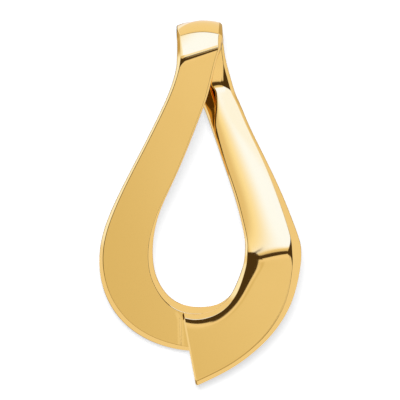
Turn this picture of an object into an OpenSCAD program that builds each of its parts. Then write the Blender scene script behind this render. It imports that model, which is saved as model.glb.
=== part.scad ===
// Slide pendant: one polished gold ribbon, folded backwards over the top as a slide for the
// chain and soldered where its cut end lies over its other end at the bottom.
// It lies on its back, with the slide towards +Y. Millimetres.

/* [Pendant] */
// Length from the bottom tip to the top of the slide, as it lies
pendant_length = 42.8; // [30:0.1:60]
// Thickness of the gold ribbon
metal = 1.3; // [1.1:0.05:1.6]

/* [Slide] */
// Clear depth of the slide, from its front wall to its rear wall
slide_depth = 2.9; // [2.4:0.1:3.6]
// Height of the arch across the top of the slide
slide_arch = 0.45; // [0:0.05:0.6]

/* [Arms] */
// Crown across the face of the back arm
crown = 0.12; // [0:0.01:0.2]
// Heights where the back arm starts to come forward below the slide, along its two edges
slope_top_inner = 33.7; // [33:0.1:35]
slope_top_outer = 34.3; // [33:0.1:35]
// Heights where it has come forward over the front arm, along its two edges
slope_foot_inner = 14.6; // [13:0.1:16]
slope_foot_outer = 15.8; // [13:0.1:16]
// Bow of the slope between them
slope_bow = 0.1; // [0:0.05:0.2]
// Thickness of the solder between the cut end and the front arm under it
solder = 0.05; // [0.03:0.01:0.1]

/* [Edges] */
// Drop of a bevel for each millimetre of its width
bevel_drop = 0.75; // [0.6:0.05:1]
// Width of the small bevel that breaks every edge of the hidden side
edge_break = 0.1; // [0.05:0.01:0.2]
// Bevel around the cut end
cut_bevel = 0.2; // [0.1:0.01:0.25]

/* [Hidden] */

gold = [0.90, 0.73, 0.42];

// Rings of points for each row of the arms and of the slide
arm_rings = 4;
slide_rings = 3;
face_steps = [0, 0.15, 0.35, 0.65, 0.85, 1];

// How far to each side the direction of the metal's thickness is averaged, so that the hidden
// side doesn't fold over itself behind a crease
thickness_reach = 1.2;

// Depths from the front arm's face towards the viewer: of the back arm's face behind the slide
// and over the front arm, and of the middle and the back of the slide's rear wall
rear_face = -metal - slide_depth;
over_face = metal + solder;
rear_middle = rear_face - metal / 2;
rear_back = rear_face - metal;

// Outline of the solder, inside both arms, and how far it reaches into each of them
solder_outline = [[-1.1, 7.1], [-0.6, 4.4], [2.4, 5.0], [4.9, 6.9], [6.5, 9.3], [5.1, 11.0],
    [4.5, 9.6], [2.7, 8.1], [0.6, 7.3]];
solder_reach = 0.3;

// The angle at which the pendant lies: it stands on the back of the slide and on the back of
// the front arm's end, this far apart
rest_span = 30.4;
rest_tilt = atan2(metal + slide_depth, rest_span);

// Every row is one section across the ribbon, from its edge a to its edge b, along its visible
// face, seen from the front with x to the right and y up from the bottom tip. Edge a is the
// left one at the slide: the outer edge of the front arm and the inner edge of the back arm.

// Columns: a x, a y, b x, b y, bevel a, bevel b
front_arm = [
    [ 7.8,  9.2,   4.8, 12.4,  0.30, 0.70],
    [ 5.5,  6.4,   3.9, 10.6,  0.30, 0.70],
    [ 2.6,  4.4,   2.4,  9.3, 0.40, 0.75],
    [-0.4,  3.75,   0.5,  8.95, 0.50, 0.80],
    [-3.5,  4.2,  -1.4,  9.05,  0.55, 0.90],
    [-6.4,  5.25,  -3.1,  9.7,  0.60, 0.80],
    [-9.05,  7.15,  -4.4, 11.1,  0.60, 0.65],
    [-11.0, 10.05, -5.3, 13.0,  0.55, 0.60],
    [-11.8, 13.5, -5.5, 15.3,  0.45, 0.60],
    [-11.5, 16.9, -5.35, 17.6,  0.40, 0.40],
    [-10.4, 20.0, -4.6, 20.4,  0.40, 0.20],
    [-8.7, 23.5,  -3.05, 23.5,  0.30, 0.15],
    [-6.8, 27.1,  -1.5, 27.1,  0.30, 0.18],
    [-5.1, 30.5,  -0.2, 30.5,  0.30, 0.20],
    [-3.7, 33.4,   1.0, 33.5,  0.30, 0.22],
    [-2.95, 35.6,  1.65, 36.7, 0.35, 0.22],
    [-2.7, 37.0,   2.2, 38.8,  0.40, 0.22]
];

// Columns: a x, a y, a depth, b x, b y, b depth, bevel a, bevel b, then the shares of the
// slide's arch that go upwards and forwards, and turned, which goes from 0, the row lying on
// the ribbon's outer side, to 1, on its inner side
slide = [
    [-2.70, 37.60,  0.00,  2.40, 39.25,  0.00, 0.45, 0.25, 0,    0,    0],
    [-2.68, 38.30, -0.14,  2.45, 39.75, -0.11, 0.50, 0.35, 0,    0,    0],
    [-2.68, 39.20, -0.66,  2.50, 40.12, -0.29, 0.45, 0.40, 0.45, -0.2, 0],
    [-2.70, 40.20, -1.19,  2.55, 40.44, -0.43, 0.42, 0.40, 0.95, -0.4, 0],
    [-2.72, 40.34, -1.25,  2.57, 40.55, -0.47, 0.42, 0.40, 1,    -0.4, 0],
    [-2.72, 40.48, -1.40,  2.58, 40.70, -0.60, 0.40, 0.40, 1,    -0.3, 0],
    [-2.73, 41.12, -2.30,  2.60, 41.42, -1.70, 0.35, 0.35, 1,    0,    0],
    [-2.70, 41.68, rear_back * 0.60, 2.60, 42.02, rear_back * 0.56, 0.30, 0.30, 1, 0, 0],
    [-2.70, 41.74, rear_back * 0.84, 2.60, 42.05, rear_back * 0.84, 0.25, 0.25, 1, 0, 0],
    [-2.60, 41.10, rear_back,   2.65, 41.10, rear_back,   0.20, 0.20, 0.45, 0, 0],
    [-2.60, 40.20, rear_middle, 2.70, 40.30, rear_middle, 0.20, 0.20, 0, 0, 0.5],
    [-2.50, 39.30, rear_face,   2.75, 39.40, rear_face,   0.20, 0.25, 0, 0, 1],
    [-2.20, 38.20, rear_face,   2.90, 38.30, rear_face,   0.20, 0.30, 0, 0, 1]
];

// Columns: a x, a y, b x, b y, bevel a, bevel b, share of the crown
back_arm = [
    [-1.6, 36.8,  3.2, 36.9,   0.30, 0.35, 0],
    [-0.8, 35.3,  3.65, 35.4,   0.40, 0.35, 0.2],
    [-0.2, 33.9,  4.1, 33.9,   0.50, 0.35, 0.7],
    [ 0.5, 32.3,  4.9, 32.2,   0.50, 0.35, 1],
    [ 1.0, 30.9,  5.5, 30.6,   0.35, 0.35, 1],
    [ 1.8, 28.6,  6.5, 28.5,   0.20, 0.35, 1],
    [ 2.9, 25.3,  8.1, 25.3,   0.20, 0.40, 1],
    [ 4.0, 22.1,  9.6, 22.1,   0.25, 0.65, 1],
    [ 4.8, 19.0, 10.8, 19.0,   0.25, 0.80, 1],
    [ 5.3, 16.6, 11.6, 16.8,   0.30, 0.95, 0.7],
    [ 5.2, 15.3, 11.7, 15.9,   0.30, 1.00, 0.4],
    [ 5.15, 14.5, 11.75, 15.1,  0.35, 1.00, 0.2],
    [ 5.0, 13.7, 11.75, 14.3,   0.40, 0.95, 0],
    [ 4.5, 12.3, 11.4, 12.0,   0.50, 0.80, 0],
    [ 3.7, 10.4, 10.6,  9.15,   0.60, 0.65, 0],
    [ 2.35,  9.0, 8.88,  6.3,   0.65, 0.55, 0],
    [ 0.9,  8.3, 6.58,  3.95,   0.70, 0.50, 0],
    [-0.7,  8.1,  3.62,  1.72,   0.70, 0.50, 0],
    [-2.2,  8.3, -0.4, -0.05,  0.60, 0.50, 0]
];

// Depth of the back arm's face at a height: a bowed slope between two levels
function back_depth(y, top, foot) =
    let (way = min(1, max(0, (top - y) / (top - foot))))
    rear_face + (over_face - rear_face) * (way + slope_bow * way * (1 - way));

// One list of full rows: edge a, edge b, then bevel a, bevel b and turned, then how far the
// middle of the face stands out sideways, upwards and forwards
rows = concat(
    [for (r = front_arm) [[r[0], r[1], 0], [r[2], r[3], 0], [r[4], r[5], 0], [0, 0, 0]]],
    [for (r = slide) [
        [r[0], r[1], r[2]], [r[3], r[4], r[5]], [r[6], r[7], r[10]], [0, r[8], r[9]] * slide_arch]],
    [for (r = back_arm) [
        [r[0], r[1], back_depth(r[1], slope_top_inner, slope_foot_inner)],
        [r[2], r[3], back_depth(r[3], slope_top_outer, slope_foot_outer)],
        [r[4], r[5], 1], [0, 0, r[6]] * crown]]
);

// The rows with both end rows repeated, so that the smooth curve ends on them
last = len(rows) - 1;
controls = concat([rows[0], rows[0]], rows, [rows[last], rows[last]]);
spans = len(controls) - 3;

// Smooth row at any place along the ribbon: a uniform cubic B-spline through the controls
function smooth_row(s) =
    let (t = min(spans, max(0, s)), i = min(spans - 1, floor(t)), f = t - i)
    (pow(1 - f, 3) * controls[i]
        + (3 * pow(f, 3) - 6 * f * f + 4) * controls[i + 1]
        + (3 * f * f + 3 * f + 1 - 3 * pow(f, 3)) * controls[i + 2]
        + pow(f, 3) * controls[i + 3]) / 6;

function unit(v) = v / norm(v);
function middle(r) = (r[0] + r[1]) / 2;
function across(r) = unit(r[1] - r[0]);
function mix(p, q, f) = p + (q - p) * f;

// Lookup tables of a line through the fine places: length by place, and x, y and z by length
fine_places = [for (i = [0:spans * 16]) i / 16];
function length_table(line) =
    [for (i = 0, total = 0; i < len(line);
        i = i + 1, total = total + (i < len(line) ? norm(line[i] - line[i - 1]) : 0)) total];
function line_tables(line) =
    let (lengths = length_table(line))
    concat(
        [[for (i = [0:len(line) - 1]) [fine_places[i], lengths[i]]]],
        [for (k = [0:2]) [for (i = [0:len(line) - 1]) [lengths[i], line[i][k]]]]
    );

// Direction along a line at a place, taken over a length to each side
function point_at(tables, length) = [for (k = [1:3]) lookup(length, tables[k])];
function direction(s, tables, reach) =
    let (here = lookup(s, tables[0]))
    unit(point_at(tables, here + reach) - point_at(tables, here - reach));

// The line along the middle of the visible face, and the one along the middle of the metal. On
// the slide's rear wall the rows change from one side of the ribbon to the other, and the
// second line doesn't
face_line = line_tables([for (s = fine_places) middle(smooth_row(s))]);
metal_line = line_tables([for (s = fine_places)
    let (r = smooth_row(s), through = unit(cross(across(r), direction(s, face_line, thickness_reach))))
    middle(r) + through * metal * (r[2][2] - 0.5)]);

// Corners of one side of a section: distance across from edge a, drop below the side's level,
// and share of the full crown
function side_points(wide, bevel_a, bevel_b) = concat(
    [[0, bevel_drop * bevel_a, 0]],
    [for (k = face_steps) [mix(bevel_a, wide - bevel_b, k), 0, 4 * k * (1 - k)]],
    [[wide, bevel_drop * bevel_b, 0]]
);
function reversed(list) = [for (i = [len(list) - 1:-1:0]) list[i]];

// Ring of points around the ribbon at a place, drawn in from its outline and moved along it
function ring(s, inset = 0, move = 0) =
    let (
        r = smooth_row(s),
        along = direction(s, metal_line, thickness_reach),
        through = unit(cross(across(r), along)),
        turned = r[2][2],
        start = r[0] + across(r) * inset + along * move,
        wide = norm(r[1] - r[0]) - 2 * inset,
        outer = side_points(wide, mix(r[2][0], edge_break, turned), mix(r[2][1], edge_break, turned)),
        inner = side_points(wide, mix(edge_break, r[2][0], turned), mix(edge_break, r[2][1], turned)),
        outer_bow = r[3] * (1 - turned),
        inner_bow = r[3]
    )
    concat(
        [for (p = outer) start + across(r) * p[0]
            + through * (metal * turned - inset - p[1]) + outer_bow * p[2]],
        [for (p = reversed(inner)) start + across(r) * p[0]
            - through * (metal * (1 - turned) - inset - p[1]) + inner_bow * p[2]]
    );

// All rings, none of them within the short first and last spans, and a smaller one just past
// the cut end for its bevel
slide_start = len(front_arm) + 1;
slide_end = slide_start + len(slide);
places = concat(
    [0],
    [for (i = [arm_rings:slide_start * arm_rings]) i / arm_rings],
    [for (i = [slide_start * slide_rings + 1:slide_end * slide_rings - 1]) i / slide_rings],
    [for (i = [slide_end * arm_rings:(spans - 1) * arm_rings]) i / arm_rings],
    [spans]
);
ring_list = concat([for (s = places) ring(s)], [ring(spans, cut_bevel, cut_bevel)]);

// The ribbon laid down: tilted to rest on its back, with the middle of its footprint at the
// origin
tilted = [for (r = ring_list) for (p = r) [
    p[0],
    p[1] * cos(rest_tilt) - p[2] * sin(rest_tilt),
    p[1] * sin(rest_tilt) + p[2] * cos(rest_tilt)]];
low = [for (k = [0:2]) min([for (p = tilted) p[k]])];
high = [for (k = [0:2]) max([for (p = tilted) p[k]])];
seat = [(low[0] + high[0]) / 2, (low[1] + high[1]) / 2, low[2]];

// The bent ribbon: a closed skin over all the rings
module ribbon() {
    sides = len(ring_list[0]);
    count = len(ring_list) - 1;
    polyhedron([for (p = tilted) p - seat], concat(
        [[for (j = [0:sides - 1]) j]],
        [for (i = [0:count - 1]) for (j = [0:sides - 1])
            let (next = (j + 1) % sides)
            [i * sides + j, (i + 1) * sides + j, (i + 1) * sides + next, i * sides + next]],
        [[for (j = [sides - 1:-1:0]) count * sides + j]]
    ), convexity = 6);
}

// The solder, which fuses the cut end to the front arm under it
module solder_joint() {
    translate(-seat)
        rotate([rest_tilt, 0, 0])
        translate([0, 0, -solder_reach])
        linear_extrude(height = solder + 2 * solder_reach)
        polygon(solder_outline);
}

// The whole pendant, brought to its length
module pendant() {
    color(gold)
        resize([0, pendant_length, 0], auto = true)
        union() {
            ribbon();
            solder_joint();
        }
}

pendant();
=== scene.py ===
import math

import bpy
import numpy as np
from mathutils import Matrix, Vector


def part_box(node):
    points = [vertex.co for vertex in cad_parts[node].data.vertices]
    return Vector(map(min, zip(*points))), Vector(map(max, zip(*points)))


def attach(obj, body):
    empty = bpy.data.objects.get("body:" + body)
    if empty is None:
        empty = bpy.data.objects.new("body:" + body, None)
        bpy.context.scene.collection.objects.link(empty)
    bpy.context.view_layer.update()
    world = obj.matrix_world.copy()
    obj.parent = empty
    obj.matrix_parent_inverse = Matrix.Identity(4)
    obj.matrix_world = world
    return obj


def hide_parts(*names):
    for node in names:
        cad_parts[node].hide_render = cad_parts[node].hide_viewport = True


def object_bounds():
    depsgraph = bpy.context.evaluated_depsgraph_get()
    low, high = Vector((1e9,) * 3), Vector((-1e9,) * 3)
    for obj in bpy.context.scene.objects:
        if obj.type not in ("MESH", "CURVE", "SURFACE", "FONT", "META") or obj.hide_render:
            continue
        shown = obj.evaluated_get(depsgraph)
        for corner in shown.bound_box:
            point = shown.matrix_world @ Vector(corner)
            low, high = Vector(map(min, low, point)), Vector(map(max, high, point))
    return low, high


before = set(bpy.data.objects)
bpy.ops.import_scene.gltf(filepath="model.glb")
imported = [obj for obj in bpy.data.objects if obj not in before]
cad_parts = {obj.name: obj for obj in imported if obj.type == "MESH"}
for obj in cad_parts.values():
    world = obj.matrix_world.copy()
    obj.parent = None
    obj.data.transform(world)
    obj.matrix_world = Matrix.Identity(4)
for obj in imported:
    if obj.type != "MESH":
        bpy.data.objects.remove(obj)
cad_low, cad_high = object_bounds()

MM = 0.001

# The ribbon's sizes, in metres
metal = 1.3 * MM
slide_depth = 2.9 * MM
solder = 0.05 * MM
edge_break = 0.1 * MM
cut_bevel = 0.2 * MM
rest_span = 30.4 * MM

# The heights where the back arm's slope starts and ends, at its inner and its outer edge
slope_top_inner = 34.2 * MM
slope_top_outer = 34.7 * MM
slope_foot_inner = 14.4 * MM
slope_foot_outer = 15.8 * MM

# How much the slope bows towards the viewer, how much gentler it starts, and the share of it over
# which it does
slope_bow = 0.1
slope_ease = 0.25
slope_ease_share = 0.3

# How deep a bevel is for its width, and how steep the rolled strips are at their bevels: at edge
# a of the slide, and at edge b everywhere
bevel_drop = 0.75
slide_lean = 0.15
outer_lean = 0.4

# Rounding of the creases beside the faces and of the outer edges, and the narrow strip beside it
# that keeps the flat faces flat
fillet = 0.05 * MM
edge_fillet = 0.1 * MM
hold = 0.02 * MM

# The largest shares of a side that a rounding and that strip take, the share of the metal's
# thickness that an outer edge's rounding can count on, and the narrowest roll that is worked out
rounding_limit = 0.3
hold_limit = 0.2
wall_share = 0.25
least_roll = 0.1 * MM

# How far to each side the direction of the metal's thickness is averaged, so that the hidden
# side doesn't fold over itself behind a crease
thickness_reach = 1.2 * MM

# The mesh: how far its rings are apart, how many steps a ring takes around a corner, over a bevel
# and over a face, how many places the ribbon's length is measured at, and the angle from which an
# edge is shown sharp
ring_spacing = 0.17 * MM
corner_steps = 4
bevel_steps = 2
face_steps = 30
fine_count = 6000
sharp_angle = math.radians(38)

# Depths of the back arm's face, from the front arm's face towards the viewer: behind the slide,
# and where it lies over the front arm
rear_face = -metal - slide_depth
over_face = metal + solder

# The pendant rests on its back, with its face tilted. These are the face's own directions there
rest_tilt = math.atan2(metal + slide_depth, rest_span)
face_right = (1, 0, 0)
face_up = (0, math.cos(rest_tilt), math.sin(rest_tilt))
face_towards = (0, -math.sin(rest_tilt), math.cos(rest_tilt))

# Every row is one section across the ribbon, from its edge a to its edge b, along its visible
# face, seen from the front with x to the right and y up from the bottom tip, in millimetres.
# Columns: a x, a y, b x, b y, bevel a, bevel b
front_arm = [
    [7.8, 9.2, 4.8, 12.4, 0.30, 0.70],
    [5.5, 6.4, 3.9, 10.6, 0.30, 0.70],
    [2.6, 4.4, 2.4, 9.3, 0.40, 0.75],
    [-0.4, 3.75, 0.5, 8.95, 0.50, 0.80],
    [-3.5, 4.2, -1.4, 9.05, 0.55, 0.90],
    [-6.4, 5.25, -3.1, 9.7, 0.60, 0.80],
    [-9.05, 7.15, -4.4, 11.1, 0.60, 0.65],
    [-11.0, 10.05, -5.3, 13.0, 0.55, 0.60],
    [-11.8, 13.5, -5.5, 15.3, 0.45, 0.60],
    [-11.5, 16.9, -5.35, 17.6, 0.40, 0.40],
    [-10.4, 20.0, -4.6, 20.4, 0.40, 0.20],
    [-8.7, 23.5, -3.05, 23.5, 0.30, 0.15],
    [-6.8, 27.1, -1.5, 27.1, 0.30, 0.18],
    [-5.1, 30.5, -0.2, 30.5, 0.30, 0.20],
    [-3.7, 33.4, 1.0, 33.5, 0.30, 0.22],
    [-2.95, 35.6, 1.65, 36.7, 0.35, 0.22],
    [-2.7, 36.8, 2.2, 38.6, 0.40, 0.22],
]

# Depths of the slide's back, of the middle of its metal and of its inner face, in millimetres
rear_back = (rear_face - metal) / MM
rear_middle = (rear_face - metal / 2) / MM
rear_front = rear_face / MM

# Columns: a x, a y, a depth, b x, b y, b depth, bevel a, bevel b, arch up, arch forward, roll a
# and turned, where turned goes from 0, the row lying on the ribbon's outer side, to 1, on its
# inner side
slide = [
    [-2.70, 37.38, 0.00, 2.40, 39.03, 0.00, 0.45, 0.25, 0, 0, 0.8, 0],
    [-2.68, 38.06, -0.14, 2.45, 39.51, -0.11, 0.50, 0.35, 0, 0, 0.4, 0],
    [-2.68, 39.10, -0.66, 2.50, 40.02, -0.29, 0.45, 0.40, 0.20, -0.08, 0, 0],
    [-2.70, 40.20, -1.19, 2.55, 40.44, -0.43, 0.42, 0.40, 0.42, -0.17, 0, 0],
    [-2.72, 40.34, -1.25, 2.57, 40.55, -0.47, 0.42, 0.40, 0.45, -0.18, 0, 0],
    [-2.72, 40.48, -1.40, 2.58, 40.70, -0.60, 0.40, 0.40, 0.45, -0.14, 0, 0],
    [-2.73, 41.12, -2.30, 2.60, 41.42, -1.70, 0.12, 0.35, 0.45, 0, 0, 0],
    [-2.70, 41.68, -3.30, 2.60, 42.02, -3.10, 0.08, 0.30, 0.45, 0, 0, 0],
    [-2.70, 41.74, -4.60, 2.60, 42.05, -4.60, 0.08, 0.25, 0.45, 0, 0, 0],
    [-2.60, 41.10, rear_back, 2.65, 41.10, rear_back, 0.20, 0.20, 0.20, 0, 0, 0],
    [-2.60, 40.20, rear_middle, 2.70, 40.30, rear_middle, 0.20, 0.20, 0, 0, 0.1, 0.5],
    [-2.50, 39.30, rear_front, 2.75, 39.40, rear_front, 0.20, 0.25, 0, 0, 0.2, 1],
    [-2.20, 38.20, rear_front, 2.90, 38.30, rear_front, 0.20, 0.30, 0, 0, 0.2, 1],
]

# Columns: a x, a y, b x, b y, bevel a, bevel b, crown, roll a, lean a, roll b. The rolls are the
# widths of the rolled strips beside the bevels, and lean a is the slope of roll a at its bevel
back_arm = [
    [-1.6, 36.8, 3.2, 36.9, 0.30, 0.35, 0.00, 0.2, 0.2, 0.1],
    [-0.9, 35.5, 3.6, 35.6, 0.30, 0.35, 0.02, 0.6, 0.3, 0.8],
    [-0.53, 34.65, 3.85, 34.7, 0.25, 0.35, 0.06, 1.6, 0.35, 0.9],
    [-0.35, 34.25, 3.98, 34.3, 0.22, 0.35, 0.08, 2.1, 0.38, 0.8],
    [-0.2, 33.9, 4.1, 33.9, 0.20, 0.35, 0.09, 2.2, 0.38, 0.6],
    [0.5, 32.3, 4.9, 32.2, 0.20, 0.35, 0.12, 1.6, 0.38, 0.1],
    [1.0, 30.9, 5.5, 30.6, 0.20, 0.35, 0.12, 0.8, 0.38, 0.1],
    [1.8, 28.6, 6.5, 28.5, 0.20, 0.35, 0.12, 0.2, 0.3, 0.1],
    [2.9, 25.3, 8.1, 25.3, 0.20, 0.40, 0.12, 0.1, 0.1, 0.1],
    [4.0, 22.1, 9.6, 22.1, 0.25, 0.65, 0.12, 0.1, 0.1, 0.1],
    [4.8, 19.0, 10.8, 19.0, 0.25, 0.80, 0.12, 0.1, 0.0, 0.1],
    [5.3, 16.6, 11.6, 16.8, 0.30, 0.95, 0.08, 0.1, 0.0, 0.1],
    [5.2, 15.3, 11.7, 15.9, 0.30, 1.00, 0.05, 0.2, 0.1, 0.6],
    [5.15, 14.5, 11.75, 15.1, 0.35, 1.00, 0.02, 2.0, 0.15, 0.4],
    [5.0, 13.7, 11.75, 14.3, 0.40, 0.95, 0.00, 2.2, 0.15, 0.1],
    [4.5, 12.3, 11.4, 12.0, 0.50, 0.80, 0.00, 1.4, 0.15, 0.1],
    [3.7, 10.4, 10.6, 9.15, 0.60, 0.65, 0.00, 1.1, 0.13, 0.1],
    [2.35, 9.0, 8.88, 6.3, 0.65, 0.55, 0.00, 1.1, 0.12, 0.1],
    [0.9, 8.3, 6.58, 3.95, 0.70, 0.50, 0.00, 1.3, 0.11, 0.1],
    [-0.7, 8.1, 3.62, 1.72, 0.70, 0.50, 0.00, 1.3, 0.11, 0.1],
    [-1.85, 8.35, -0.25, -0.05, 0.60, 0.50, 0.00, 1.1, 0.11, 0.1],
]

# Outline of the solder between the arms, in millimetres, and how far it reaches into each
solder_outline = [[-1.1, 7.1], [-0.6, 4.4], [2.4, 5.0], [4.9, 6.9], [6.5, 9.3], [5.1, 11.0],
                  [4.5, 9.6], [2.7, 8.1], [0.6, 7.3]]
solder_reach = 0.3 * MM

# The shallow bevel on the front arm's face beside the cut end. Its crease as x and y, from the
# bottom up, and how deep it has sunk at distances from the crease, in millimetres
cut_side_crease = [[-2.33, 3.2], [-2.33, 4.9], [-2.42, 7.6], [-2.85, 8.5]]
cut_side_depths = [[0, 0], [0.3, 0.026], [1.6, 0.026]]

# The length over which this bevel fades out at its upper end, and the depths between which a
# point belongs to the front arm's face
cut_side_fade = 1.0 * MM
cut_side_low = -0.4 * MM
cut_side_high = 0.02 * MM

# The photograph's frame: its scale at the face and where the bottom tip lies in it
photo_px = 400
px_per_m = 8.6 / MM
tip_px = (199.8, 384.0)

# The camera: how far away it stands, how wide its sensor is in millimetres, and how near and how
# far it sees
camera_away = 0.9
camera_sensor = 36
camera_near = 0.01
camera_far = 10

# The gold: the two tones that drift over it, its least and greatest roughness, and the size and
# the detail of the drifting
gold_tones = ((0.955, 0.628, 0.190), (0.945, 0.612, 0.178))
gold_roughness = (0.035, 0.07)
drift_scale = 180
drift_detail = 3

# The white board: half its width, its tone, its roughness and its own glow, which stands for the
# light that the real board gets from all sides
board_half = 2.0
board_tone = (0.85, 0.85, 0.85)
board_roughness = 0.9
board_glow = 0.68

# The lamp that lights the board: its width, its power in watts and where it hangs
lamp_width = 0.55
lamp_power = 3.6
lamp_place = (-0.05, 0.18, 0.7)

# The columns of a full row, edge a and edge b first
EDGE_A = slice(0, 3)
EDGE_B = slice(3, 6)
(BEVEL_A, BEVEL_B, ARCH_UP, ARCH_FORWARD, CROWN, ROLL_A, ROLL_B, LEAN_A,
 TURNED) = (slice(column, column + 1) for column in range(6, 15))


def back_depth(y, top, foot):
    """Depth of the back arm's face at a height: a bowed slope between two levels, which starts
    gently at its top."""
    way = min(1, max(0, (top - y) / (top - foot)))
    start = max(0, 1 - way / slope_ease_share)
    shape = way + slope_bow * way * (1 - way) - slope_ease * way * start ** 2
    return rear_face + (over_face - rear_face) * shape


def full_rows():
    """Every section with all its columns: the lean and turned as plain numbers, the rest in
    metres."""
    full = []
    for ax, ay, bx, by, bevel_a, bevel_b in front_arm:
        full.append([ax, ay, 0, bx, by, 0, bevel_a, bevel_b, 0, 0, 0, 0, 0, slide_lean, 0])
    for *edges_and_arch, roll_a, turned in slide:
        full.append([*edges_and_arch, 0, roll_a, 0, slide_lean, turned])
    for ax, ay, bx, by, bevel_a, bevel_b, crown, roll_a, lean_a, roll_b in back_arm:
        a_depth = back_depth(ay * MM, slope_top_inner, slope_foot_inner) / MM
        b_depth = back_depth(by * MM, slope_top_outer, slope_foot_outer) / MM
        full.append([ax, ay, a_depth, bx, by, b_depth, bevel_a, bevel_b, 0, 0,
                     crown, roll_a, roll_b, lean_a, 1])
    units = np.full(len(full[0]), MM)
    units[LEAN_A] = 1
    units[TURNED] = 1
    return np.array(full) * units


rows = full_rows()
controls = np.vstack([rows[:1], rows[:1], rows, rows[-1:], rows[-1:]])
spans = len(controls) - 3


def smooth_rows(s):
    """Sections at places along the ribbon: a uniform cubic B-spline through the controls."""
    s = np.clip(s, 0, spans)
    i = np.minimum(spans - 1, np.floor(s)).astype(int)
    f = (s - i)[:, None]
    return ((1 - f) ** 3 * controls[i]
            + (3 * f ** 3 - 6 * f * f + 4) * controls[i + 1]
            + (3 * f * f + 3 * f + 1 - 3 * f ** 3) * controls[i + 2]
            + f ** 3 * controls[i + 3]) / 6


def unit(v):
    return v / np.linalg.norm(v, axis=-1, keepdims=True)


def mix(p, q, f):
    return p + (q - p) * f


def steps_along(points):
    return np.linalg.norm(np.diff(points, axis=0), axis=1)


def running_length(steps):
    return np.concatenate([[0], np.cumsum(steps)])


fine_places = np.linspace(0, spans, fine_count)
fine_rows = smooth_rows(fine_places)
face_line = (fine_rows[:, EDGE_A] + fine_rows[:, EDGE_B]) / 2


def direction_along(s, line):
    """Direction at places along a line through the fine places, taken over the thickness reach to
    each side."""
    lengths = running_length(steps_along(line))
    here = np.interp(s, fine_places, lengths)
    ends = [np.column_stack([np.interp(here + step, lengths, line[:, k]) for k in range(3)])
            for step in (thickness_reach, -thickness_reach)]
    return unit(ends[0] - ends[1])


def middle_line():
    """The line along the middle of the metal. Over the bend behind the slide the rows change from
    one side of the ribbon to the other, and this line doesn't."""
    across = unit(fine_rows[:, EDGE_B] - fine_rows[:, EDGE_A])
    through = unit(np.cross(across, direction_along(fine_places, face_line)))
    return face_line + through * metal * (fine_rows[:, TURNED] - 0.5)


metal_line = middle_line()


def face_drop(across, wide, r, hidden):
    """How far one side of the ribbon lies below its control line: less over the crown, and more
    over the rolled strips beside its bevels. Hidden is 1 where the side is the hidden one, which
    has neither."""
    bevel_a, bevel_b = r[:, BEVEL_A], r[:, BEVEL_B]
    k = np.clip((across - bevel_a) / (wide - bevel_a - bevel_b), 0, 1)
    drop = -4 * r[:, CROWN] * k * (1 - k)
    for roll, lean, distance in ((r[:, ROLL_A], r[:, LEAN_A], across - bevel_a),
                                 (r[:, ROLL_B], outer_lean, wide - bevel_b - across)):
        near = np.clip(1 - distance / np.maximum(roll, least_roll), 0, 1)
        drop = drop + lean / 2 * roll * near ** 2
    return (1 - hidden) * drop


def rounded_corner(before, here, after, radius):
    """Points around a rounded corner, from the side before it to the side after it."""
    start = here + unit(before - here) * radius
    end = here + unit(after - here) * radius
    return [(1 - f) ** 2 * start + 2 * f * (1 - f) * here + f * f * end
            for f in np.linspace(0, 1, corner_steps + 1)]


def straight_side(here, after, here_radius, after_radius, steps):
    """Points along the side between two rounded corners, a little clear of both."""
    on = after - here
    length = np.linalg.norm(on, axis=1, keepdims=True)
    strip = np.minimum(hold, hold_limit * length) / length
    first = here_radius / length + strip
    last = 1 - after_radius / length - strip
    return [here + on * (first + (last - first) * f) for f in np.linspace(0, 1, steps + 1)]


def half_ring(wide, r, hidden):
    """One side of each section as [across, drop], from edge a to edge b, with rounded corners."""
    bevel_a = mix(r[:, BEVEL_A], edge_break, hidden)
    bevel_b = mix(r[:, BEVEL_B], edge_break, hidden)
    zero = 0 * wide
    wall = wall_share * metal
    corners = [np.concatenate(corner, axis=1) for corner in (
        (zero, bevel_drop * bevel_a + wall),
        (zero, bevel_drop * bevel_a),
        (bevel_a, zero),
        (wide - bevel_b, zero),
        (wide, bevel_drop * bevel_b),
        (wide, bevel_drop * bevel_b + wall),
    )]
    lengths = [np.linalg.norm(after - here, axis=1, keepdims=True)
               for here, after in zip(corners, corners[1:])]
    radii = [0] + [np.minimum(rounding, rounding_limit * np.minimum(before, after))
                   for rounding, before, after in zip((edge_fillet, fillet, fillet, edge_fillet),
                                                      lengths, lengths[1:])]
    line = rounded_corner(*corners[0:3], radii[1])
    for c, steps in ((1, bevel_steps), (2, face_steps), (3, bevel_steps)):
        line += straight_side(*corners[c:c + 2], *radii[c:c + 2], steps)
        line += rounded_corner(*corners[c:c + 3], radii[c + 1])
    line = np.stack(line, axis=1)
    line[..., 1] += face_drop(line[..., 0], wide, r, hidden)
    return line


def rings_at(s, inset=0, move=0):
    """Rings of points around the ribbon, drawn in from its outline and moved along it."""
    r = smooth_rows(s)
    span = r[:, EDGE_B] - r[:, EDGE_A]
    across = unit(span)
    along = direction_along(s, metal_line)
    through = unit(np.cross(across, along))
    wide = np.linalg.norm(span, axis=1, keepdims=True) - 2 * inset
    start = r[:, EDGE_A] + across * inset + along * move
    arch = np.concatenate([0 * wide, r[:, ARCH_UP], r[:, ARCH_FORWARD]], axis=1)
    sides = []
    for outwards, hidden in ((1, r[:, TURNED]), (-1, 1 - r[:, TURNED])):
        line = half_ring(wide, r, hidden)
        height = (metal * hidden - inset)[:, None] - line[..., 1:2]
        k = np.clip(line[..., 0:1] / wide[:, None], 0, 1)
        sides.append(start[:, None] + across[:, None] * line[..., 0:1]
                     + outwards * height * through[:, None]
                     + arch[:, None] * 4 * k * (1 - k))
    outer, inner = sides
    return np.concatenate([outer, inner[:, ::-1]], axis=1)


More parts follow.
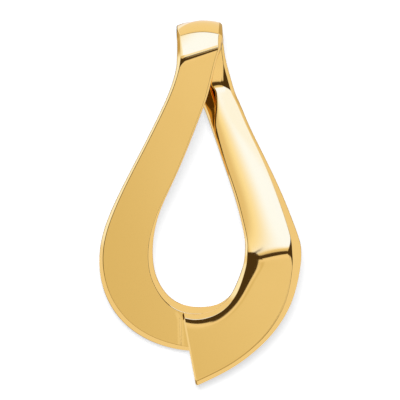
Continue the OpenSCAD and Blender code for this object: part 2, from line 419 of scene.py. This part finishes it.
def even_places(spacing):
    """Places along the ribbon about one spacing apart, halfway between its middle and the edge
    that is longer there."""
    steps_a, steps_b, steps_middle = (steps_along(line) for line in (
        fine_rows[:, EDGE_A], fine_rows[:, EDGE_B], face_line))
    length = running_length((np.maximum(steps_a, steps_b) + steps_middle) / 2)
    count = int(length[-1] / spacing)
    return np.interp(np.linspace(0, length[-1], count + 1), length, fine_places)


def lie_down(points):
    """Tilts points from the face frame to the pose in which the pendant rests on its back."""
    x, y, z = (points[..., axis, None] for axis in range(3))
    return x * np.array(face_right) + y * np.array(face_up) + z * np.array(face_towards)


class Seat:
    """The shift and scale that put the lying ribbon in the CAD model's box."""

    def __init__(self, points):
        low, high = points.min(axis=0), points.max(axis=0)
        box_low, box_high = (np.array(corner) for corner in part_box("pendant"))
        self.scale = (box_high[1] - box_low[1]) / (high[1] - low[1])
        foot = np.array([(low[0] + high[0]) / 2, (low[1] + high[1]) / 2, low[2]])
        box_foot = np.array([(box_low[0] + box_high[0]) / 2,
                             (box_low[1] + box_high[1]) / 2, box_low[2]])
        self.shift = box_foot - foot * self.scale

    def place(self, points):
        return points * self.scale + self.shift


def closed_mesh(name, rings):
    """A closed skin over rings of points, with a flat face over each end."""
    count, sides = rings.shape[:2]
    faces = [list(range(sides))]
    for i in range(count - 1):
        for j in range(sides):
            k = (j + 1) % sides
            faces.append([i * sides + j, (i + 1) * sides + j, (i + 1) * sides + k, i * sides + k])
    faces.append([(count - 1) * sides + j for j in range(sides - 1, -1, -1)])
    mesh = bpy.data.meshes.new(name)
    mesh.from_pydata(rings.reshape(-1, 3).tolist(), [], faces)
    mesh.validate()
    piece = bpy.data.objects.new(name, mesh)
    bpy.context.scene.collection.objects.link(piece)
    return piece


def sink_cut_side(points):
    """Sinks the front arm's face beside the cut end, which makes the shallow bevel there."""
    x, y, z = points[..., 0], points[..., 1], points[..., 2]
    crease = np.array(cut_side_crease) * MM
    depths = np.array(cut_side_depths) * MM
    top = crease[-1, 1]
    from_crease = x - np.interp(y, crease[:, 1], crease[:, 0])
    fade = np.clip((top - y) / cut_side_fade, 0, 1)
    sunk = np.minimum(z, -fade * np.interp(from_crease, depths[:, 0], depths[:, 1]))
    on_face = (y < top) & (z > cut_side_low) & (z < cut_side_high)
    return np.stack([x, y, np.where(on_face, sunk, z)], axis=-1)


def ribbon_rings():
    """All rings of the ribbon, the last one for the bevel around its cut end."""
    body = sink_cut_side(rings_at(even_places(ring_spacing)))
    end = np.array([float(spans)])
    return np.concatenate([body, rings_at(end, inset=cut_bevel, move=cut_bevel)])


def solder_rings():
    """The solder between the arms, as two rings."""
    outline = np.array(solder_outline) * MM
    low = np.column_stack([outline, np.full(len(outline), -solder_reach)])
    high = np.column_stack([outline, np.full(len(outline), solder + solder_reach)])
    return np.stack([low, high])


def fuse(piece, other):
    """Joins another closed mesh to a piece, as one solid, and removes the other."""
    join = piece.modifiers.new("fuse", "BOOLEAN")
    join.operation = "UNION"
    join.solver = "EXACT"
    join.object = other
    bpy.context.view_layer.update()
    graph = bpy.context.evaluated_depsgraph_get()
    fused = bpy.data.meshes.new_from_object(piece.evaluated_get(graph))
    piece.modifiers.clear()
    piece.data = fused
    bpy.data.objects.remove(other)


def make_pendant():
    """The whole pendant as one piece, and the seat that it was placed by."""
    lying = lie_down(ribbon_rings())
    seat = Seat(lying.reshape(-1, 3))
    piece = closed_mesh("folded_ribbon", seat.place(lying))
    fuse(piece, closed_mesh("solder_joint", seat.place(lie_down(solder_rings()))))
    piece.data.shade_smooth()
    piece.data.set_sharp_from_angle(angle=sharp_angle)
    return piece, seat


class Nodes:
    """Short forms for building a node tree."""

    # A mix node names its sockets for colours like those for numbers, so they are numbered
    COLOUR_A = 6
    COLOUR_B = 7
    COLOUR_RESULT = 2

    def __init__(self, tree):
        self.tree = tree
        tree.nodes.clear()

    def new(self, kind, **settings):
        node = self.tree.nodes.new(kind)
        for name, value in settings.items():
            setattr(node, name, value)
        return node

    def join(self, source, target):
        self.tree.links.new(source, target)

    def math(self, operation, a, b=0.0):
        node = self.new("ShaderNodeMath", operation=operation)
        for socket, value in zip(node.inputs, (a, b)):
            if isinstance(value, (int, float)):
                socket.default_value = value
            else:
                self.join(value, socket)
        return node.outputs[0]

    def dot(self, vector, axis):
        node = self.new("ShaderNodeVectorMath", operation="DOT_PRODUCT")
        self.join(vector, node.inputs[0])
        node.inputs[1].default_value = axis
        return node.outputs["Value"]

    def smooth(self, value, low, high):
        """0 below low, 1 above high, smooth between."""
        node = self.new("ShaderNodeMapRange", interpolation_type="SMOOTHSTEP")
        self.join(value, node.inputs["Value"])
        node.inputs["From Min"].default_value = low
        node.inputs["From Max"].default_value = high
        return node.outputs["Result"]

    def blend(self, factor, a, b, label=""):
        """Colour a where the factor is 0 and colour b where it is 1."""
        node = self.new("ShaderNodeMix", data_type="RGBA", label=label)
        self.join(factor, node.inputs["Factor"])
        for index, value in ((self.COLOUR_A, a), (self.COLOUR_B, b)):
            if isinstance(value, tuple):
                node.inputs[index].default_value = (*value, 1)
            else:
                self.join(value, node.inputs[index])
        return node.outputs[self.COLOUR_RESULT]


def gold_material():
    """Polished 14 carat yellow gold, whose tone and polish drift a little over it."""
    material = bpy.data.materials.new("polished_gold")
    material.use_nodes = True
    n = Nodes(material.node_tree)
    shader = n.new("ShaderNodeBsdfPrincipled")
    n.join(shader.outputs[0], n.new("ShaderNodeOutputMaterial").inputs["Surface"])
    shader.inputs["Metallic"].default_value = 1.0

    drift = n.new("ShaderNodeTexNoise")
    drift.inputs["Scale"].default_value = drift_scale
    drift.inputs["Detail"].default_value = drift_detail
    n.join(n.new("ShaderNodeTexCoord").outputs["Object"], drift.inputs["Vector"])
    n.join(n.blend(drift.outputs["Fac"], *gold_tones), shader.inputs["Base Color"])

    polish = n.new("ShaderNodeMapRange")
    n.join(drift.outputs["Fac"], polish.inputs["Value"])
    polish.inputs["To Min"].default_value, polish.inputs["To Max"].default_value = gold_roughness
    n.join(polish.outputs["Result"], shader.inputs["Roughness"])
    return material


# The studio, as soft cards mirrored in the metal. A card is told by the slope of the metal that
# mirrors it to the camera: across to the right and up the face. It ends at soft edges.
# Columns of an edge: direction in degrees, slope at its middle, softness. The card lies on the
# side to which the direction points. The direction INSIDE gives a round edge.
INSIDE = "inside"
LENS = [(INSIDE, 0.055, 0.012)]
SOFT_BOX = [(63, 0.103, 0.02), (135, 0.0672, 0.02), (-90, -0.56, 0.04), (0, -0.40, 0.1),
            (180, -0.40, 0.1)]

# Colours that several cards share
BLACK = (0.07, 0.05, 0.03)
DIM = (0.30, 0.24, 0.14)
WHITE = (0.92, 0.93, 1.08)
GLOWING = (1.04, 1.28, 2.3)
BRIGHT = (1.05, 1.55, 4.5)

# What the metal mirrors where there is no card, and the cards, each over those before it.
# Columns: name, colour, edges
surroundings = (0.45, 0.38, 0.25)
studio = [
    ("walls", WHITE, [(0, -0.6, 0.2), (INSIDE, 4, 1)]),
    ("wall above the horizon", (0.58, 0.50, 0.36), [(90, 0.1, 0.2)]),
    ("far wall above", (0.96, 0.98, 1.12), [(90, 0.80, 0.06), (156, 0.1, 0.2), (50, 0.1, 0.2)]),
    ("near walls", WHITE, [(INSIDE, 1.1, 0.2)]),
    ("dark room behind the left wall", (0.08, 0.06, 0.03), [(180, 1.76, 0.06), (90, 0.6, 0.1)]),
    ("white wall at the left", GLOWING, [(180, 0.66, 0.06), (90, 0.12, 0.16), (0, -1.0, 0.15)]),
    ("wall beyond the cut end", (0.95, 1.0, 1.3), [(180, 0.78, 0.06), (-90, -0.1, 0.1),
                                                   (90, -0.4, 0.1)]),
    ("dim room round the lens", (0.42, 0.35, 0.21), [(INSIDE, 0.64, 0.06), (180, -0.44, 0.04)]),
    ("dim strip beside the soft box", DIM, [(180, 0.40, 0.1), (INSIDE, 0.66, 0.06),
                                            (90, 0.30, 0.1)]),
    ("dim strip above the soft box", DIM, [(INSIDE, 0.66, 0.06), (90, 0.5, 0.1),
                                           (0, -0.35, 0.1), (180, -0.35, 0.1)]),
    ("dark room at the right", BLACK, [(0, 0.26, 0.03), (180, -0.44, 0.04), (90, -0.35, 0.1),
                                       (INSIDE, 0.66, 0.04)]),
    ("grey card below the lens", (0.82, 0.81, 0.84), [(-90, -0.02, 0.03), (INSIDE, 0.25, 0.05)]),
    ("dark flag above the lens", BLACK, [(90, -0.04, 0.02), (INSIDE, 0.48, 0.05),
                                         (180, -0.28, 0.03)]),
    ("warm card at the right", (0.93, 0.94, 1.1), [(0, 0.058, 0.01), (180, -0.13, 0.02),
                                                   (90, -0.05, 0.02), (-90, -0.05, 0.02)]),
    ("lens", (0.79, 0.775, 0.76), LENS),
    ("lens, right part", (0.875, 0.885, 0.97), LENS + [(40, -0.004, 0.006)]),
    ("lens, left part", (0.745, 0.72, 0.66), LENS + [(180, 0.003, 0.006)]),
    ("light round the lens", (0.94, 0.94, 1.08), LENS + [(90, 0.010, 0.022)]),
    ("soft box", (0.82, 0.81, 0.86), SOFT_BOX),
    ("soft box, warm part", (1.03, 1.14, 1.5), SOFT_BOX + [(0, -0.115, 0.045), (90, 0.17, 0.05)]),
    ("soft box, bright part", BRIGHT, SOFT_BOX + [(0, -0.058, 0.095), (90, 0.19, 0.06)]),
    ("soft box, upper part", (1.05, 1.46, 3.7), SOFT_BOX + [(90, 0.31, 0.03)]),
    ("soft box, upper left part", BRIGHT, SOFT_BOX + [(90, 0.31, 0.03), (180, 0.07, 0.04)]),
    ("soft box, far left part", GLOWING, SOFT_BOX + [(90, 0.30, 0.03), (180, 0.175, 0.04)]),
    ("dark flag beside the soft box", BLACK, [(100, 0.04, 0.02), (-70, -0.226, 0.016),
                                              (195, 0.005, 0.004), (INSIDE, 0.45, 0.1)]),
]

# A slope is divided by 1 plus the cosine between its direction and the camera's, which isn't
# taken below this
least_divisor = 0.02


def card_mask(n, right, up, edges):
    """How much of a card is seen at a slope, from 0 to 1."""
    mask = None
    distance = n.math("SQRT", n.math("ADD", n.math("MULTIPLY", right, right),
                                     n.math("MULTIPLY", up, up)))
    for direction, middle, softness in edges:
        ends = (middle - softness / 2, middle + softness / 2)
        if direction == INSIDE:
            edge = n.math("SUBTRACT", 1.0, n.smooth(distance, *ends))
        else:
            a = math.radians(direction)
            reach = n.math("ADD", n.math("MULTIPLY", right, math.cos(a)),
                           n.math("MULTIPLY", up, math.sin(a)))
            edge = n.smooth(reach, *ends)
        mask = edge if mask is None else n.math("MULTIPLY", mask, edge)
    return mask


def light_studio():
    """The world: the cards for what the metal mirrors, and plain white where the camera looks
    past the board. It doesn't light the board."""
    world = bpy.data.worlds.new("studio")
    bpy.context.scene.world = world
    world.use_nodes = True
    n = Nodes(world.node_tree)
    direction = n.new("ShaderNodeTexCoord").outputs["Generated"]
    divisor = n.math("MAXIMUM", n.math("ADD", n.dot(direction, face_towards), 1.0),
                     least_divisor)
    right = n.math("DIVIDE", n.dot(direction, face_right), divisor)
    up = n.math("DIVIDE", n.dot(direction, face_up), divisor)
    colour = surroundings
    for name, card_colour, edges in studio:
        colour = n.blend(card_mask(n, right, up, edges), colour, card_colour, name)
    mirrored = n.new("ShaderNodeBackground")
    n.join(colour, mirrored.inputs["Color"])
    plain = n.new("ShaderNodeBackground")
    plain.inputs["Color"].default_value = (1, 1, 1, 1)
    either = n.new("ShaderNodeMixShader")
    n.join(n.new("ShaderNodeLightPath").outputs["Is Camera Ray"], either.inputs["Fac"])
    n.join(mirrored.outputs[0], either.inputs[1])
    n.join(plain.outputs[0], either.inputs[2])
    n.join(either.outputs[0], n.new("ShaderNodeOutputWorld").inputs["Surface"])
    world.cycles_visibility.diffuse = False


def light_board():
    """A large soft lamp that lights the board and isn't mirrored in the metal."""
    lamp = bpy.data.lights.new("floor_lamp", "AREA")
    lamp.shape = "DISK"
    lamp.size = lamp_width
    lamp.energy = lamp_power
    holder = bpy.data.objects.new("floor_lamp", lamp)
    holder.location = lamp_place
    holder.rotation_euler = (-holder.location).to_track_quat("-Z", "Y").to_euler()
    holder.visible_glossy = False
    bpy.context.scene.collection.objects.link(holder)


def board_material():
    """Matt white board, with a glow of its own."""
    material = bpy.data.materials.new("white_board")
    material.use_nodes = True
    n = Nodes(material.node_tree)
    shader = n.new("ShaderNodeBsdfPrincipled")
    n.join(shader.outputs[0], n.new("ShaderNodeOutputMaterial").inputs["Surface"])
    shader.inputs["Base Color"].default_value = (*board_tone, 1)
    shader.inputs["Roughness"].default_value = board_roughness
    shader.inputs["Specular IOR Level"].default_value = 0.0
    shader.inputs["Emission Color"].default_value = (1, 1, 1, 1)
    shader.inputs["Emission Strength"].default_value = board_glow
    return material


def make_floor():
    """The board that the pendant lies on. The metal doesn't mirror it, as the studio's cards
    stand for it."""
    half = board_half
    mesh = bpy.data.meshes.new("floor")
    mesh.from_pydata([(-half, -half, 0), (half, -half, 0), (half, half, 0), (-half, half, 0)], [],
                     [(0, 1, 2, 3)])
    mesh.materials.append(board_material())
    floor = bpy.data.objects.new("floor", mesh)
    floor.location.z = cad_low.z
    floor.visible_glossy = False
    bpy.context.scene.collection.objects.link(floor)


def make_camera(seat):
    """Looks straight at the face, with the photograph's middle in the middle of its view."""
    middle_px = photo_px / 2
    aim = np.array([(middle_px - tip_px[0]) / px_per_m, (tip_px[1] - middle_px) / px_per_m, 0])
    target = Vector(seat.place(lie_down(aim)))
    towards = Vector(face_towards)
    data = bpy.data.cameras.new("camera")
    data.sensor_width = camera_sensor
    data.lens = data.sensor_width * camera_away / (photo_px / px_per_m)
    data.clip_start = camera_near
    data.clip_end = camera_far
    camera = bpy.data.objects.new("camera", data)
    camera.location = target + towards * camera_away
    camera.rotation_euler = (-towards).to_track_quat("-Z", "Y").to_euler()
    bpy.context.scene.collection.objects.link(camera)
    bpy.context.scene.camera = camera


pendant, seat = make_pendant()
pendant.data.materials.append(gold_material())
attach(pendant, "root")
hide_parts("pendant")

# The pendant still throws the lamp's shadow on the board, but it doesn't tint or dim the board
# around it
pendant.visible_diffuse = False

make_floor()
light_studio()
light_board()
make_camera(seat)
bpy.context.scene.view_settings.view_transform = "Standard"
